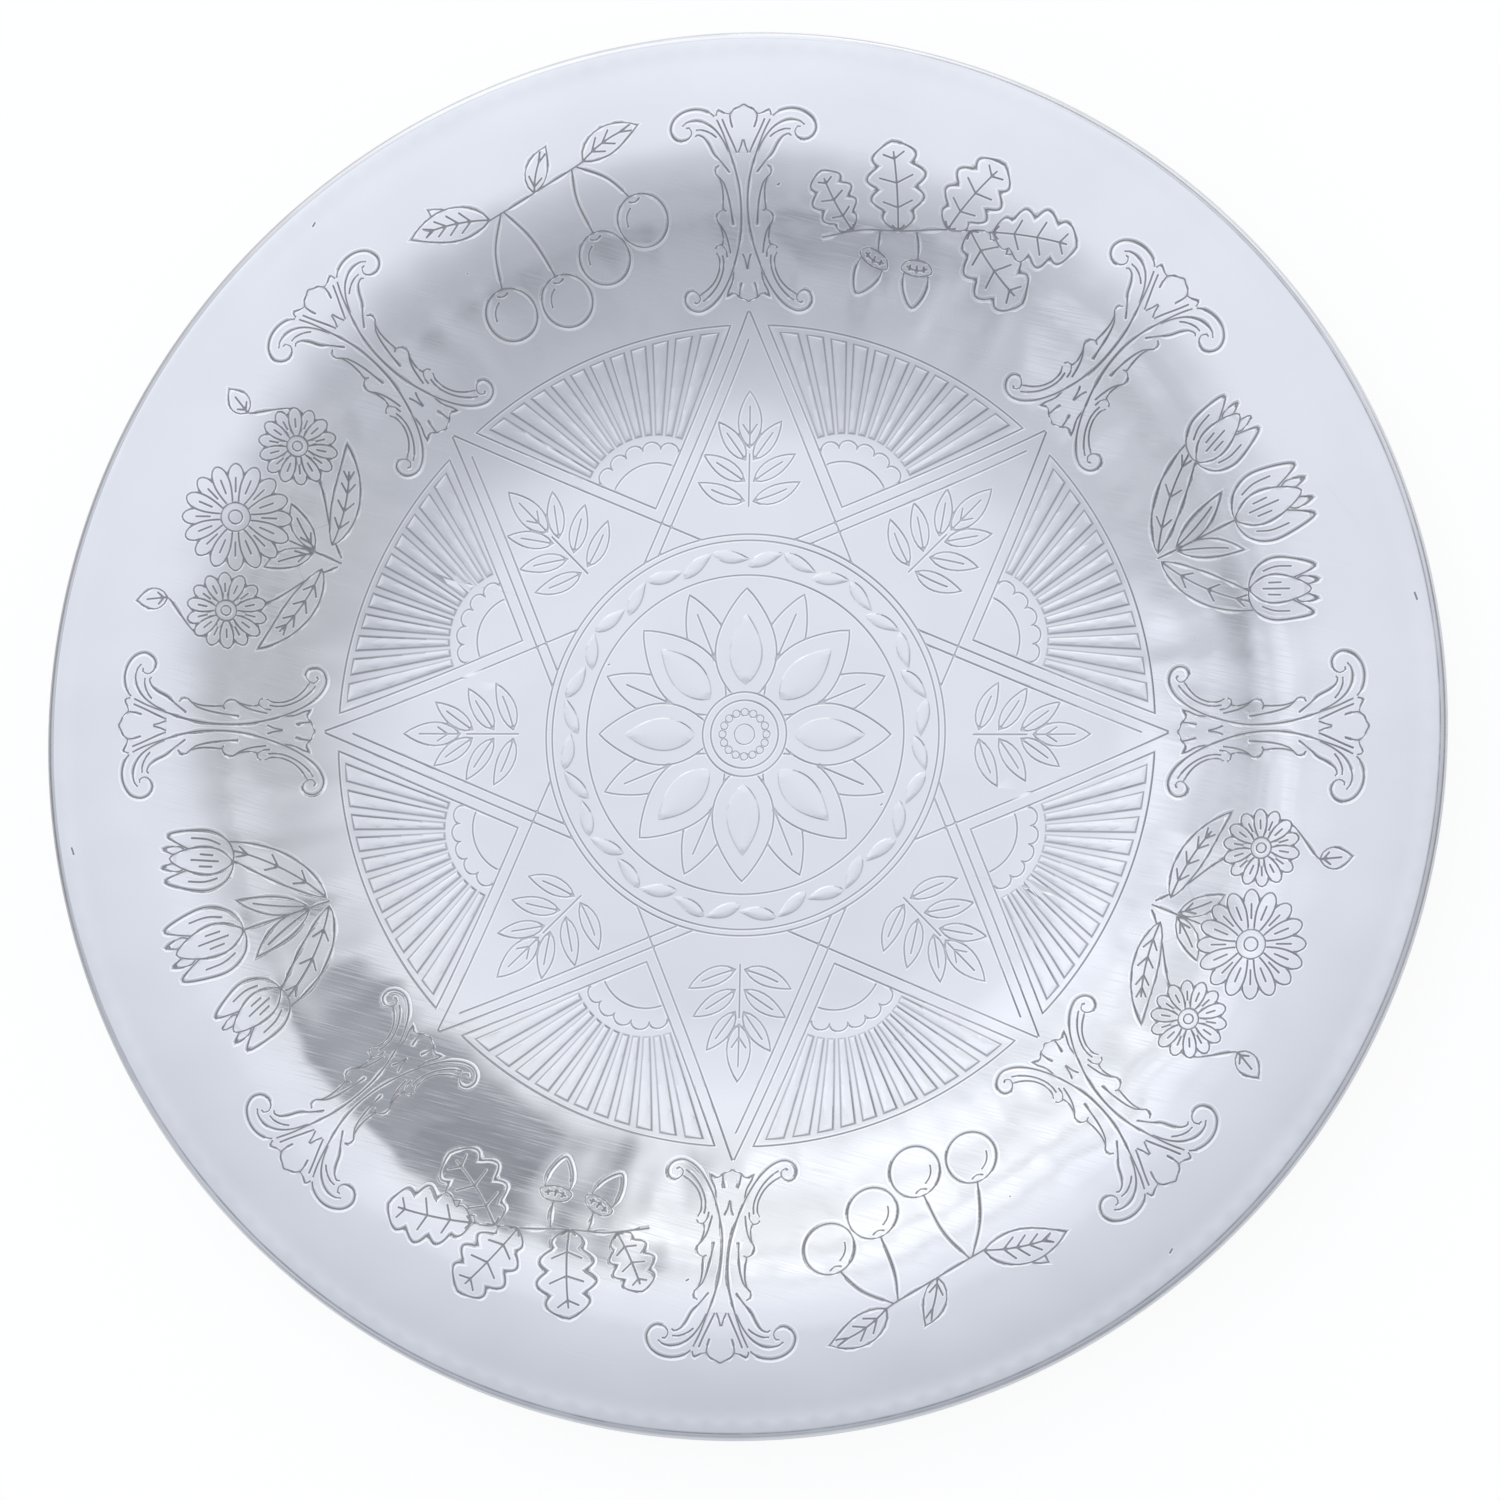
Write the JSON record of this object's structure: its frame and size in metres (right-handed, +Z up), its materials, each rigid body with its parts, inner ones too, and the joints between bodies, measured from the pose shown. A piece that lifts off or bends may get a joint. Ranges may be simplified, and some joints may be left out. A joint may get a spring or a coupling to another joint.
{
  "type": "round tray",
  "caption": "Round silver-plated tray with a shallow stamped well, a curved wall, a wide rim and a half-oval edge wire.",
  "frame": {"origin": "centre of the underside of the well, on the surface that the tray stands on", "axes": "+Z up along the tray's axis, +Y towards the top of the decoration"},
  "size_m": [0.27, 0.27, 0.0159],
  "materials": {
    "silver_sheet": "polished silver plate with hairline scratches",
    "silver_wire": "polished silver plate, rubbed on the edge"
  },
  "bodies": {
    "root": {"tray_body": "silver_sheet", "edge_wire": "silver_wire"}
  },
  "joints": []
}
